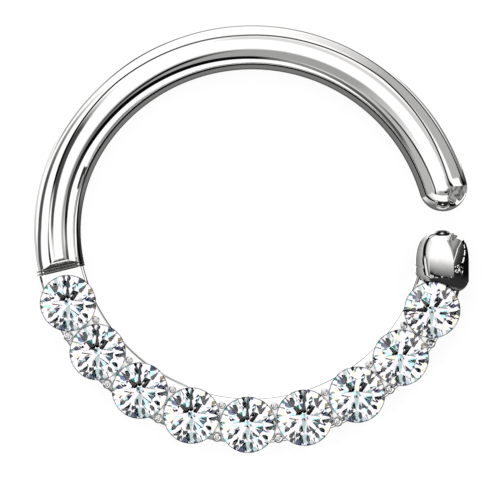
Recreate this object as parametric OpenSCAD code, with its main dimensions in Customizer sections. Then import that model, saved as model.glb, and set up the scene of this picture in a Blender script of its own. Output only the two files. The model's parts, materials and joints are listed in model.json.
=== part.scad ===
// Bendable septum ring: an open hoop of round bar, soldered to a curved rail of nine
// round brilliants that face the viewer, with a barrel cap across a small gap from the tip.
// The ring lies on its back: +X right, +Y up as worn seen from the front, +Z out of the front.

/* [Hoop] */
// Diameter of the round bar
bar_d = 1.2; // [1.0:0.05:1.3]
// Radius of the bar's bend next to the seam
shoulder_r = 4.3; // [4.2:0.05:4.4]
// Degrees that this bend turns
shoulder_turn = 46.7; // [45:0.1:48]
// Radius of the bar's long bend over the top
bow_r = 4.96; // [4.9:0.02:5.02]
// Degrees that the long bend turns
bow_turn = 130; // [126:1:131]
// Place of the seam, where the bar meets the rail, round the rail's middle line
seam_angle = 193.5; // [192.5:0.1:194]

/* [Seam] */
// Radius of the rounding on the front edge of the bar's end
seam_round = 0.22; // [0.12:0.01:0.3]
// Length of the flat band between that rounding and the seam
seam_band = 0.15; // [0.08:0.01:0.2]

/* [Rail] */
// Radius of the rail's middle line
rail_r = 4.855; // [4.83:0.005:4.88]
// Width of the rail
rail_w = 1.12; // [1.0:0.02:1.2]
// Height of the rail from its flat back
rail_h = 0.93; // [0.85:0.01:0.95]
// Bevel along the front edges
front_bevel = 0.08; // [0.02:0.01:0.12]
// Bevel along the back edges
back_bevel = 0.2; // [0.05:0.01:0.25]

/* [Stones] */
// Number of stones
stone_count = 9; // [5:2:9]
// Diameter of a stone
stone_d = 1.4; // [1.2:0.01:1.41]
// Radius of the line through the stones' centres
stone_ring_r = 4.95; // [4.94:0.01:5.0]
// Degrees from the first stone to the last
row_span = 132; // [132:0.2:134]
// Place of the middle stone
middle_stone_angle = 268.9; // [268.5:0.1:269.2]
// Height of the underside of the girdle above the rail's flat back
girdle_z = 0.98; // [0.96:0.01:1.05]
// Width of the table as a share of the diameter
table_share = 0.56; // [0.5:0.01:0.64]
// Height of the crown as a share of the diameter
crown_share = 0.15; // [0.12:0.01:0.17]
// Thickness of the girdle as a share of the diameter
girdle_share = 0.025; // [0.02:0.005:0.04]
// Depth of the pavilion as a share of the diameter
pavilion_share = 0.43; // [0.41:0.01:0.44]

/* [Prongs] */
// Radius of the line of outer beads
outer_bead_r = 5.32; // [5.3:0.01:5.36]
// Diameter of an outer bead
outer_bead_d = 0.24; // [0.18:0.01:0.26]
// Radius of the line of inner beads
inner_bead_r = 4.52; // [4.48:0.01:4.54]
// Diameter of an inner bead
inner_bead_d = 0.18; // [0.14:0.01:0.19]
// Height of the beads' centres above the underside of the girdle
bead_lift = 0.1; // [0.08:0.01:0.14]

/* [Cap] */
// Diameter of the cap at its belly
cap_d = 1.33; // [1.2:0.01:1.34]
// Distance of the cap's axis to the right of the rail's centre
cap_x = 4.737; // [4.7:0.01:4.76]
// Height of the cap's top against the rail's centre
cap_top = -0.08; // [-0.12:0.01:-0.04]
// Height of the cap's dome
dome_h = 0.88; // [0.7:0.02:0.9]
// Squareness of the dome, where 2 is an ellipse
dome_power = 2.5; // [2:0.1:3]
// Degrees that the cap's foot slants
foot_slant = 17.5; // [14:0.5:20]
// Radius of the rounding on the foot's edge
foot_round = 0.34; // [0.2:0.02:0.36]
// How far the foot laps over the edge of the last stone, which stands in a scoop in it
foot_lap = 0.12; // [0.08:0.01:0.16]

/* [Hidden] */
$fn = 96;
hair = 0.01;
seat_gap = 0.035;
scoop_gap = 0.03;
light_hole_d = 0.5;
post_share = 0.8;
foot_overlap = 1;
dome_steps = 14;
facet_count = 8;
facet_turn = 360 / facet_count;
half_turn = facet_turn / 2;
star_share = 0.5;
lower_share = 0.23;
rough_share = 1.02;

function polar(r, a) = [r * cos(a), r * sin(a)];

// A bend starts at a point with a heading and turns clockwise round a centre to the heading's right
function bend_centre(at, heading, r) = at + polar(r, heading - 90);
function bend_end(at, heading, r, turn) = bend_centre(at, heading, r) + polar(r, heading + 90 - turn);

seam = polar(rail_r, seam_angle);
seam_heading = seam_angle - 90;
bow_start = bend_end(seam, seam_heading, shoulder_r, shoulder_turn);
bow_heading = seam_heading - shoulder_turn;
tip = bend_end(bow_start, bow_heading, bow_r, bow_turn);
shoulder_centre = bend_centre(seam, seam_heading, shoulder_r);
bow_centre = bend_centre(bow_start, bow_heading, bow_r);

stone_step = row_span / (stone_count - 1);
first_stone_angle = middle_stone_angle - row_span / 2;
last_stone_angle = first_stone_angle + row_span;
function stone_angle(i) = first_stone_angle + stone_step * i;

girdle_h = stone_d * girdle_share;
pavilion_h = stone_d * pavilion_share;
crown_h = stone_d * crown_share;
table_r = stone_d * table_share / 2;
culet_z = girdle_z - pavilion_h;

last_stone = polar(stone_ring_r, last_stone_angle);
foot_normal = 90 - foot_slant;
foot = last_stone + polar(stone_d / 2 - foot_lap, foot_normal);
cap_y = foot[1] - (cap_x - foot[0]) * tan(foot_slant);
rail_end_angle = 360 + atan2(cap_y, cap_x) + foot_overlap;

// The foot's rounding touches the upright belly on its low side and on its high side
foot_half = cap_d / 2 / cos(foot_slant);
low_inset = foot_round / tan((90 - foot_slant) / 2);
high_inset = foot_round / tan((90 + foot_slant) / 2);
foot_shift = (high_inset - low_inset) / 2;
foot_r = foot_half + foot_round - (high_inset + low_inset) / 2;

// The middle of the ring's box as seen from the front, which is put on the origin
left = shoulder_centre[0] - shoulder_r - bar_d / 2;
right = cap_x + cap_d / 2;
top = bow_centre[1] + bow_r + bar_d / 2;
bottom = stone_ring_r * sin(middle_stone_angle) - stone_d / 2;
middle = [(left + right) / 2, (top + bottom) / 2, 0];

// One tangent bend of the round bar
module bend(at, heading, r, turn) {
  translate(concat(bend_centre(at, heading, r), bar_d / 2))
    rotate(heading + 90 - turn)
      rotate_extrude(angle = turn) translate([r, 0]) circle(d = bar_d);
}

// The rounded free end, polished a hair under the bar, with its poles along the bar
module nose() {
  translate(concat(tip, bar_d / 2))
    rotate(bow_heading - bow_turn) rotate([0, 90, 0]) sphere(d = bar_d - hair);
}

// What the file takes off the front of the bar's end: a flat band, and a round that runs up from it
module seam_cutter() {
  translate(concat(seam, 0))
    rotate(seam_heading)
      rotate([90, 0, 0])
        translate([0, 0, -bar_d]) linear_extrude(2 * bar_d) difference() {
          translate([-hair, bar_d - seam_round])
            square([hair + seam_band + seam_round, bar_d]);
          translate([seam_band + seam_round, bar_d - seam_round]) circle(r = seam_round);
        }
}

module bar() {
  difference() {
    union() {
      bend(seam, seam_heading, shoulder_r, shoulder_turn);
      bend(bow_start, bow_heading, bow_r, bow_turn);
      nose();
    }
    seam_cutter();
  }
}

// Section of the rail from its inner to its outer edge, flat on its back
module rail_section() {
  half = rail_w / 2;
  translate([rail_r, 0]) polygon([
    [-half + back_bevel, 0],
    [half - back_bevel, 0],
    [half, back_bevel],
    [half, rail_h - front_bevel],
    [half - front_bevel, rail_h],
    [-half + front_bevel, rail_h],
    [-half, rail_h - front_bevel],
    [-half, back_bevel]
  ]);
}

// The rail before its seats are cut
module plain_rail() {
  rotate(seam_angle) rotate_extrude(angle = rail_end_angle - seam_angle) rail_section();
}

// Room for one stone's pavilion, with the light hole behind it
module seat(i) {
  reach = girdle_z - culet_z + girdle_h;
  slope = stone_d / 2 / pavilion_h;
  translate(polar(stone_ring_r, stone_angle(i))) {
    translate([0, 0, culet_z]) cylinder(h = reach, r1 = seat_gap, r2 = seat_gap + reach * slope);
    translate([0, 0, -hair]) cylinder(h = girdle_z, d = light_hole_d);
  }
}

// A bead on its post, which two neighbouring stones share
module bead(r, d, angle) {
  translate(polar(r, angle)) {
    translate([0, 0, girdle_z + bead_lift]) sphere(d = d);
    translate([0, 0, rail_h / 2]) cylinder(h = girdle_z + bead_lift - rail_h / 2, d = d * post_share);
  }
}

module beads() {
  for (i = [1:stone_count - 1]) {
    bead(outer_bead_r, outer_bead_d, stone_angle(i - 0.5));
    bead(inner_bead_r, inner_bead_d, stone_angle(i - 0.5));
  }
}

// Half of the cap's outline: a straight belly under a squarish dome
module cap_outline(length) {
  dome_base = length - dome_h;
  polygon(concat(
    [[0, 0], [cap_d / 2, 0]],
    [for (k = [0:dome_steps])
      let (lift = sin(90 * k / dome_steps))
        [cap_d / 2 * pow(1 - pow(lift, dome_power), 1 / dome_power), dome_base + dome_h * lift]]
  ));
}

// Outline of the slanting foot: a rounded edge, and above it a flare that clears the upright cap
module foot_outline(length) {
  square([foot_r - foot_round, length]);
  translate([foot_r - foot_round, foot_round]) circle(r = foot_round);
  translate([0, foot_round]) polygon([
    [0, 0],
    [foot_r, 0],
    [foot_r + length * tan(2 * foot_slant), length],
    [0, length]
  ]);
}

// What the last stone's scoop takes out of the cap: a cone under the girdle, straight walls above it
module scoop() {
  r = stone_d / 2 + scoop_gap;
  cone_h = (r - seat_gap) * pavilion_h / (stone_d / 2);
  translate(concat(last_stone, culet_z)) {
    cylinder(h = cone_h, r1 = seat_gap, r2 = r);
    translate([0, 0, cone_h - hair]) cylinder(h = cap_d, r = r);
  }
}

module cap() {
  length = cap_top - cap_y + cap_d;
  difference() {
    intersection() {
      translate([cap_x, cap_top - length, cap_d / 2])
        rotate([-90, 0, 0]) rotate_extrude() cap_outline(length);
      translate([cap_x, cap_y, cap_d / 2])
        rotate(-foot_slant) translate([foot_shift, 0, 0])
          rotate([-90, 0, 0]) rotate_extrude() foot_outline(2 * length);
    }
    scoop();
  }
}

// Round brilliant: table, stars, kites and upper facets over a round girdle, then the pavilion
module brilliant() {
  rough_r = stone_d / 2 * rough_share;
  star_r = table_r * cos(half_turn) * (1 - star_share) + stone_d / 2 * star_share;
  star_z = girdle_h + crown_h * (rough_r - star_r * cos(half_turn)) / (rough_r - table_r);
  lower_r = rough_r * lower_share;
  lower_z = -pavilion_h * (1 - lower_share * cos(half_turn));
  turns = [for (k = [0:facet_count - 1]) k * facet_turn];
  table = [for (a = turns) concat(polar(table_r, a), girdle_h + crown_h)];
  stars = [for (a = turns) concat(polar(star_r, a + half_turn), star_z)];
  girdle_top = [for (a = turns, b = [0, half_turn]) concat(polar(rough_r, a + b), girdle_h)];
  girdle_low = [for (a = turns, b = [0, half_turn]) concat(polar(rough_r, a + b), 0)];
  lowers = [for (a = turns) concat(polar(lower_r, a + half_turn), lower_z)];
  n = facet_count;
  star_at = n;
  top_at = 2 * n;
  low_at = 4 * n;
  lower_at = 6 * n;
  culet_at = 7 * n;
  faces = concat(
    [[for (k = [n - 1:-1:0]) k]],
    [for (k = [0:n - 1]) each let (
        next = (k + 1) % n, before = (k + n - 1) % n,
        main = 2 * k, side = 2 * k + 1, after = 2 * next
      ) [
        [k, next, star_at + k],
        [k, star_at + k, top_at + main, star_at + before],
        [star_at + k, top_at + side, top_at + main],
        [star_at + k, top_at + after, top_at + side],
        [top_at + main, top_at + side, low_at + side, low_at + main],
        [top_at + side, top_at + after, low_at + after, low_at + side],
        [low_at + main, low_at + side, lower_at + k],
        [low_at + side, low_at + after, lower_at + k],
        [low_at + main, lower_at + k, culet_at, lower_at + before]
      ]]
  );
  intersection() {
    polyhedron(concat(table, stars, girdle_top, girdle_low, lowers, [[0, 0, -pavilion_h]]), faces);
    translate([0, 0, -pavilion_h]) cylinder(h = pavilion_h + girdle_h + crown_h, d = stone_d);
  }
}

module hoop_and_setting() {
  color("gainsboro")
    translate(-middle) union() {
      bar();
      cap();
      difference() {
        union() {
          plain_rail();
          beads();
        }
        for (i = [0:stone_count - 1]) seat(i);
      }
    }
}

module stone(i) {
  color("aliceblue")
    translate(concat(polar(stone_ring_r, stone_angle(i - 1)), girdle_z) - middle) brilliant();
}

hoop_and_setting();
for (i = [1:stone_count])
  stone(i);
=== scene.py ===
"""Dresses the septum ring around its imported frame: polished metal, cut stones, a light tent, a camera.

Each piece is modelled in millimetres, as on a jeweller's bench, and comes to the frame's metres when it
is finished. The metal pieces together stand for the frame's one soldered solid. The stones are the
frame's own, dressed as cut zirconia.
"""

import json
import logging
import math
from collections.abc import Callable, Iterator, Sequence
from contextlib import contextmanager
from dataclasses import dataclass
from enum import Enum
from typing import TypeAlias

import bmesh
import bpy
from mathutils import Matrix, Vector

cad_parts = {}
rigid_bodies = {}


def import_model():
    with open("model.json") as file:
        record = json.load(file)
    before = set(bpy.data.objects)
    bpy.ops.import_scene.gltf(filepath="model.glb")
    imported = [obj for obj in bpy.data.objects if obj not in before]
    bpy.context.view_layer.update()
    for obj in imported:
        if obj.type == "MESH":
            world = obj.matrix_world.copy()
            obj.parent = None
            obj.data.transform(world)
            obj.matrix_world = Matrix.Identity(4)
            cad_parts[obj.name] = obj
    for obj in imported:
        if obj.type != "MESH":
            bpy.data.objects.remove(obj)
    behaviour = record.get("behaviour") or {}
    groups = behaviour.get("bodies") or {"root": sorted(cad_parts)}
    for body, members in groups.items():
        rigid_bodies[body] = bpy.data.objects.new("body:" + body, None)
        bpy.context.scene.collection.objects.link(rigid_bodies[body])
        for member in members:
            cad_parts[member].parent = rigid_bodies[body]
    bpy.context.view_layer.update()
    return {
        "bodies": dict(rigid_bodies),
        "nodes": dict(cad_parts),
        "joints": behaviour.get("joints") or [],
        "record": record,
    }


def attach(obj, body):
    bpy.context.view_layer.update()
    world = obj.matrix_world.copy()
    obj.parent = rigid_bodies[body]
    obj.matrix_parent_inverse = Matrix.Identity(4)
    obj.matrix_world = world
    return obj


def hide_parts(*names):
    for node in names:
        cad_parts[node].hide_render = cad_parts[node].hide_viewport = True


LOG = logging.getLogger("septum_ring")
MM = 0.001
HAIR = 0.01
WELD = HAIR / 100
UP = Vector((0, 0, 1))
BODY = "root"
METAL_NODE = "hoop_and_setting"
# The share of the light that polished steel sends back.
STEEL_MIRRORS = 0.67
# The light of the brightest spots on the cards, which the steel shows as white.
BRIGHT = 1.5

Solid: TypeAlias = bpy.types.Object
Colour: TypeAlias = tuple[float, float, float, float]
Triple: TypeAlias = tuple[float, float, float]
Outline: TypeAlias = Sequence[tuple[float, float]]
Value: TypeAlias = "Reading | float"


class Slot(Enum):
    """The record's material slots."""

    STEEL = "polished_steel"
    STONE = "clear_stone"


class Cut(Enum):
    """How one solid changes another."""

    AWAY = "DIFFERENCE"
    KEEP_SHARED = "INTERSECT"


def polar(radius: float, degrees: float, z: float = 0.0) -> Vector:
    """The point at that radius and angle, at height z."""
    angle = math.radians(degrees)
    return Vector((radius * math.cos(angle), radius * math.sin(angle), z))


def placed(at: Vector, turn: float = 0.0, upright: bool = False) -> Matrix:
    """A place for a turned solid.

    Args:
        at: where its foot's centre goes.
        turn: degrees round the vertical.
        upright: True to lay its axis along +Y before the turn.

    Returns:
        The matrix from the lathe's frame to that place.
    """
    lay = Matrix.Rotation(math.radians(-90), 4, "X") if upright else Matrix.Identity(4)
    return Matrix.Translation(at) @ Matrix.Rotation(math.radians(turn), 4, "Z") @ lay


def seen(grey: float) -> float:
    """The light that polished steel has to mirror to show as that grey, by a picture's usual curve.

    Args:
        grey: the grey in the picture, from 0 to 255.

    Returns:
        The light.
    """
    share = grey / 255
    linear = ((share + 0.055) / 1.055) ** 2.4 if share > 0.04 else share / 12.92
    return linear / STEEL_MIRRORS


@dataclass(frozen=True)
class RingPlan:
    """The ring's driving sizes in millimetres and degrees, as the frame was built, and what follows."""

    bar_d: float = 1.2
    shoulder_r: float = 4.3
    shoulder_turn: float = 46.7
    bow_r: float = 4.96
    bow_turn: float = 130.0
    seam_angle: float = 193.5
    seam_round: float = 0.22
    seam_band: float = 0.15
    rail_r: float = 4.855
    rail_w: float = 1.12
    rail_h: float = 0.93
    front_bevel: float = 0.08
    back_bevel: float = 0.2
    stone_count: int = 9
    stone_d: float = 1.4
    stone_ring_r: float = 4.95
    row_span: float = 132.0
    middle_stone_angle: float = 268.9
    girdle_z: float = 0.98
    girdle_h: float = 0.035
    pavilion_h: float = 0.602
    seat_gap: float = 0.035
    light_hole_d: float = 0.5
    cap_d: float = 1.33
    cap_x: float = 4.737
    cap_top: float = -0.08
    foot_slant: float = 17.5
    foot_lap: float = 0.12
    foot_overlap: float = 1.0
    scoop_gap: float = 0.03

    @property
    def hub(self) -> Vector:
        """The rail's centre in the frame, whose origin is the middle of the ring's outline.

        Returns:
            The centre, at the height of the ring's back.
        """
        shoulder = polar(self.rail_r, self.seam_angle) - polar(self.shoulder_r, self.seam_angle)
        left = shoulder.x - self.shoulder_r - self.bar_d / 2
        right = self.cap_x + self.cap_d / 2
        bow = shoulder + polar(self.shoulder_r - self.bow_r, self.seam_angle - self.shoulder_turn)
        top = bow.y + self.bow_r + self.bar_d / 2
        lowest = polar(self.stone_ring_r, self.middle_stone_angle)
        return -Vector(((left + right) / 2, (top + lowest.y - self.stone_d / 2) / 2, 0))

    @property
    def seam(self) -> Vector:
        """The middle of the bar's end at the seam."""
        return self.hub + polar(self.rail_r, self.seam_angle, self.bar_d / 2)

    @property
    def shoulder_centre(self) -> Vector:
        """The centre of the bend next to the seam."""
        return self.seam - polar(self.shoulder_r, self.seam_angle)

    @property
    def bow_centre(self) -> Vector:
        """The centre of the long bend over the top."""
        joint = self.seam_angle - self.shoulder_turn
        return self.shoulder_centre + polar(self.shoulder_r - self.bow_r, joint)

    @property
    def tip_heading(self) -> float:
        """The direction that the free end points in, in degrees."""
        return self.seam_angle - 90 - self.shoulder_turn - self.bow_turn

    @property
    def seam_place(self) -> Matrix:
        """From the bench to the foot of the bar's end at the seam, with +Y up along the bar."""
        return placed(Vector((self.seam.x, self.seam.y, 0)), self.seam_angle - 180)

    @property
    def cap_foot(self) -> Vector:
        """Where the cap's axis meets its slanted foot.

        Returns:
            The point, at the height of the axis.
        """
        normal = 90 - self.foot_slant
        last = polar(self.stone_ring_r, self.middle_stone_angle + self.row_span / 2)
        foot = last + polar(self.stone_d / 2 - self.foot_lap, normal)
        drop = (self.cap_x - foot.x) * math.tan(math.radians(self.foot_slant))
        return self.hub + Vector((self.cap_x, foot.y - drop, self.cap_d / 2))

    @property
    def rail_sweep(self) -> float:
        """How far the rail runs, from the seam to just inside the cap.

        Returns:
            The sweep in degrees.
        """
        foot = self.cap_foot - self.hub
        end = 360 + math.degrees(math.atan2(foot.y, foot.x)) + self.foot_overlap
        return end - self.seam_angle

    def stone_angle(self, place: float) -> float:
        """The angle of a stone round the hub, where 0 is the one next to the seam and halves lie between."""
        step = self.row_span / (self.stone_count - 1)
        return self.middle_stone_angle - self.row_span / 2 + step * place

    @property
    def seat_slope(self) -> float:
        """How much wider a stone's seat gets for each millimetre up."""
        return self.stone_d / 2 / self.pavilion_h

    def seat_radius(self, z: float) -> float:
        """The radius of a stone's seat at height z."""
        return self.seat_gap + (z - self.girdle_z + self.pavilion_h) * self.seat_slope

    def seat_height(self, radius: float) -> float:
        """The height at which a stone's seat has that radius."""
        return self.girdle_z - self.pavilion_h + (radius - self.seat_gap) / self.seat_slope


class Bench:
    """What every piece is worked with: one piece is taken up at a time, and the rest is left alone."""

    @staticmethod
    def clear() -> None:
        """Deselects everything, the frame's own nodes too."""
        bpy.ops.object.select_all(action="DESELECT")

    @staticmethod
    def take(piece: Solid) -> None:
        """Makes one piece the only selected and active one.

        Args:
            piece: the piece that is worked next.
        """
        Bench.clear()
        piece.select_set(True)
        bpy.context.view_layer.objects.active = piece

    @staticmethod
    @contextmanager
    def editing(piece: Solid) -> Iterator[None]:
        """Edit mode on one piece, all of it selected.

        Args:
            piece: the piece.

        Returns:
            A context that leaves edit mode at its end.
        """
        Bench.take(piece)
        bpy.ops.object.mode_set(mode="EDIT")
        bpy.ops.mesh.select_mode(type="VERT")
        bpy.ops.mesh.select_all(action="SELECT")
        try:
            yield
        finally:
            bpy.ops.object.mode_set(mode="OBJECT")

    @staticmethod
    def settle(piece: Solid, place: Matrix | None = None) -> Solid:
        """Puts a piece in its place and brings that place into its mesh.

        Args:
            piece: the piece, where its primitive was added.
            place: a further move, or None.

        Returns:
            The same piece, with its object at the origin.
        """
        if place is not None:
            bpy.context.view_layer.update()
            piece.matrix_world = place @ piece.matrix_world
        Bench.take(piece)
        bpy.ops.object.transform_apply(location=True, rotation=True, scale=True)
        return piece

    @staticmethod
    def pick(piece: Solid, test: Callable[[Vector], bool]) -> None:
        """Selects vertices by their place, in edit mode.

        Args:
            piece: the piece in edit mode.
            test: says whether a vertex is wanted.
        """
        mesh = bmesh.from_edit_mesh(piece.data)
        for vertex in mesh.verts:
            vertex.select_set(test(vertex.co))
        mesh.select_flush(True)
        bmesh.update_edit_mesh(piece.data)

    @staticmethod
    def ring(sides: int, radius: float, at: Sequence[float], turn: Triple = (0.0, 0.0, 0.0)) -> Solid:
        """An open loop to draw out or sweep.

        Args:
            sides: how many sides it has.
            radius: its radius.
            at: its middle.
            turn: its turn round X, Y and Z, in radians.

        Returns:
            The loop, with its place in its mesh.
        """
        bpy.ops.mesh.primitive_circle_add(
            vertices=sides, radius=radius, fill_type="NOTHING", location=at, rotation=turn)
        return Bench.settle(bpy.context.object)

    @staticmethod
    def draw_out(piece: Solid, step: Vector, scale: float = 1.0) -> None:
        """Extrudes the selected loop and resizes it about its own middle, in edit mode.

        Args:
            piece: the piece in edit mode.
            step: how far the new loop goes.
            scale: the new loop's size as a share of the old one's.
        """
        bpy.ops.mesh.extrude_region_move(TRANSFORM_OT_translate={"value": step})
        if scale != 1.0:
            mesh = bmesh.from_edit_mesh(piece.data)
            loop = [vertex.co for vertex in mesh.verts if vertex.select]
            middle = sum(loop, Vector()) / len(loop)
            bpy.ops.transform.resize(value=(scale,) * 3, center_override=middle)

    @staticmethod
    def to_a_point(piece: Solid, step: Vector) -> None:
        """Draws the selected loop out by a step and closes it in a point, in edit mode."""
        Bench.draw_out(piece, step)
        bpy.ops.mesh.merge(type="CENTER")

    @staticmethod
    def sweep(clockwise: float, centre: Vector, axis: Vector, steps: int) -> None:
        """Spins the selected loop in edit mode, clockwise as seen from the axis's end."""
        bpy.ops.mesh.spin(steps=steps, angle=math.radians(clockwise), center=centre, axis=axis)

    @staticmethod
    def close() -> None:
        """Closes every hole of the piece in edit mode and turns its faces outwards."""
        bpy.ops.mesh.select_all(action="SELECT")
        bpy.ops.mesh.remove_doubles(threshold=WELD)
        bpy.ops.mesh.fill_holes(sides=0)
        bpy.ops.mesh.normals_make_consistent(inside=False)

    @staticmethod
    def turned(outline: Outline, place: Matrix, sides: int = 96) -> Solid:
        """Turns a closed solid on the lathe.

        Args:
            outline: (radius, height) pairs from the foot up. A last radius of 0 makes a pole, and any
                other end is closed flat.
            place: where the solid goes.
            sides: how many sides a ring has.

        Returns:
            The solid, with its place in its mesh.
        """
        rings = [pair for pair in outline if pair[0] > 0]
        radius, height = rings[0]
        piece = Bench.ring(sides, radius, (0, 0, height))
        with Bench.editing(piece):
            for wider, higher in rings[1:]:
                Bench.draw_out(piece, Vector((0, 0, higher - height)), wider / radius)
                radius, height = wider, higher
            if outline[-1][0] == 0:
                Bench.to_a_point(piece, Vector((0, 0, outline[-1][1] - height)))
            Bench.close()
        return Bench.settle(piece, place)

    @staticmethod
    def cut(piece: Solid, tool: Solid, how: Cut) -> Solid:
        """Cuts one solid with another, which is used up.

        Args:
            piece: the solid that stays.
            tool: the solid that cuts it.
            how: what is kept.

        Returns:
            The same piece.
        """
        Bench.take(piece)
        boolean = piece.modifiers.new("cut", "BOOLEAN")
        boolean.operation = how.value
        boolean.solver = "EXACT"
        boolean.object = tool
        bpy.ops.object.modifier_apply(modifier=boolean.name)
        bpy.data.objects.remove(tool)
        return piece

    @staticmethod
    def copied(piece: Solid, place: Matrix) -> Solid:
        """A copy of a piece, with a mesh of its own.

        Args:
            piece: the piece.
            place: the copy's move.

        Returns:
            The copy.
        """
        twin = piece.copy()
        twin.data = piece.data.copy()
        bpy.context.scene.collection.objects.link(twin)
        return Bench.settle(twin, place)

    @staticmethod
    def joined(pieces: Sequence[Solid]) -> Solid:
        """Several pieces as one object.

        Args:
            pieces: the pieces.

        Returns:
            The first of them, which holds them all.
        """
        Bench.take(pieces[0])
        for piece in pieces[1:]:
            piece.select_set(True)
        bpy.ops.object.join()
        return pieces[0]


class Reading:
    """One output of a shader node, on which masks are worked out as plain expressions."""

    def __init__(self, shop: "NodeShop", socket: bpy.types.NodeSocket) -> None:
        """Keeps the socket and the tree that it is in."""
        self.shop = shop
        self.socket = socket

    def __add__(self, other: Value) -> "Reading":
        """self + other."""
        return self.shop.math("ADD", self, other)

    __radd__ = __add__

    def __sub__(self, other: Value) -> "Reading":
        """self - other."""
        return self.shop.math("SUBTRACT", self, other)

    def __rsub__(self, other: Value) -> "Reading":
        """other - self."""
        return self.shop.math("SUBTRACT", other, self)

    def __mul__(self, other: Value) -> "Reading":
        """self * other."""
        return self.shop.math("MULTIPLY", self, other)

    __rmul__ = __mul__

    def __truediv__(self, other: Value) -> "Reading":
        """self / other."""
        return self.shop.math("DIVIDE", self, other)

    def __gt__(self, other: Value) -> "Reading":
        """1 where self is greater than other, else 0."""
        return self.shop.math("GREATER_THAN", self, other)

    def __lt__(self, other: Value) -> "Reading":
        """1 where self is less than other, else 0."""
        return self.shop.math("LESS_THAN", self, other)


def laid(under: Value, mask: Reading, over: Value) -> Reading:
    """One light laid over another where the mask is 1."""
    return under + mask * (over - under)


class NodeShop:
    """Fills one node tree."""

    def __init__(self, owner: bpy.types.Material | bpy.types.World) -> None:
        """Takes a node tree and empties it.

        Args:
            owner: the material or the world that has it.
        """
        world = isinstance(owner, bpy.types.World)
        self.tree = owner.node_tree
        self.closing = "ShaderNodeOutputWorld" if world else "ShaderNodeOutputMaterial"
        self.tree.nodes.clear()

    def node(self, kind: str, settings: dict | None = None, inputs: dict | None = None,
             output: str | int = 0) -> Reading:
        """Adds a node.

        Args:
            kind: the node's type.
            settings: its properties, which are set first. "stops" are a ramp's (place, colour) pairs.
            inputs: values or readings by socket name or number.
            output: the output that is read.

        Returns:
            That output.
        """
        made = self.tree.nodes.new(kind)
        for name, value in (settings or {}).items():
            if name == "stops":
                self._stops(made.color_ramp, value)
            else:
                setattr(made, name, value)
        for name, value in (inputs or {}).items():
            if isinstance(value, Reading):
                self.tree.links.new(value.socket, made.inputs[name])
            else:
                made.inputs[name].default_value = value
        return Reading(self, made.outputs[output])

    @staticmethod
    def _stops(ramp: bpy.types.ColorRamp, stops: Sequence[tuple[float, Colour]]) -> None:
        """Sets a ramp's stops.

        Args:
            ramp: the ramp.
            stops: its (place, colour) pairs.
        """
        while len(ramp.elements) < len(stops):
            ramp.elements.new(1.0)
        for element, (place, colour) in zip(ramp.elements, stops):
            element.position = place
            element.color = colour

    def math(self, operation: str, first: Value, second: Value = 0.0) -> Reading:
        """A Math node's value."""
        return self.node("ShaderNodeMath", {"operation": operation}, {0: first, 1: second})

    def most(self, first: Value, second: Value) -> Reading:
        """The greater of two values."""
        return self.math("MAXIMUM", first, second)

    def least(self, first: Value, second: Value) -> Reading:
        """The smaller of two values."""
        return self.math("MINIMUM", first, second)

    def size(self, value: Value) -> Reading:
        """A value without its sign."""
        return self.math("ABSOLUTE", value)

    def vector(self, operation: str, inputs: dict, output: str = "Vector") -> Reading:
        """A Vector Math node's vector or value."""
        return self.node("ShaderNodeVectorMath", {"operation": operation}, inputs, output)

    def smooth(self, value: Reading, start: Value, end: Value) -> Reading:
        """A soft step from 0 at the start to 1 at the end."""
        return self.node("ShaderNodeMapRange", {"interpolation_type": "SMOOTHSTEP"}, {
            "Value": value, "From Min": start, "From Max": end})

    def ramp(self, value: Reading, *stops: tuple[float, float]) -> Reading:
        """A grey level that follows a value through (place, level) stops."""
        colours = [(place, (level, level, level, 1)) for place, level in stops]
        return self.node("ShaderNodeValToRGB", {"stops": colours}, {"Fac": value})

    def greys(self, value: Reading, *stops: tuple[float, float]) -> Reading:
        """A light that follows a value through the (place, grey) stops that steel is to show."""
        return self.ramp(value, *((place, seen(grey)) for place, grey in stops))

    def mixed(self, share: Value, first: Reading | Colour, second: Reading | Colour) -> Reading:
        """A colour between two others."""
        return self.node("ShaderNodeMix", {"data_type": "RGBA"}, {0: share, 6: first, 7: second}, 2)

    def grey(self, level: Reading) -> Reading:
        """The colour whose three parts are that level."""
        return self.node("ShaderNodeCombineColor", inputs={0: level, 1: level, 2: level})

    def place(self) -> Reading:
        """Object coordinates, in millimetres."""
        here = self.node("ShaderNodeTexCoord", output="Object")
        return self.node("ShaderNodeMapping", inputs={"Vector": here, "Scale": (1 / MM,) * 3})

    def noise(self, where: Reading, scale: float, detail: float) -> Reading:
        """Soft noise from 0 to 1 at that scale."""
        return self.node("ShaderNodeTexNoise", inputs={"Vector": where, "Scale": scale, "Detail": detail})

    def axis(self, where: Reading, name: str) -> Reading:
        """One part of a vector: X, Y or Z."""
        return self.node("ShaderNodeSeparateXYZ", inputs={"Vector": where}, output=name)

    def part(self, colour: Reading, name: str) -> Reading:
        """One part of a colour: Red, Green or Blue."""
        return self.node("ShaderNodeSeparateColor", inputs={"Color": colour}, output=name)

    def surface(self, shader: Reading) -> None:
        """Adds the output node that fits what is dressed and links the shader to it."""
        made = self.tree.nodes.new(self.closing)
        self.tree.links.new(shader.socket, made.inputs["Surface"])


def new_material(name: str) -> tuple[bpy.types.Material, NodeShop]:
    """An empty material.

    Args:
        name: its name.

    Returns:
        The material and what fills its nodes.
    """
    material = bpy.data.materials.new(name)
    material.use_nodes = True
    return material, NodeShop(material)


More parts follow.
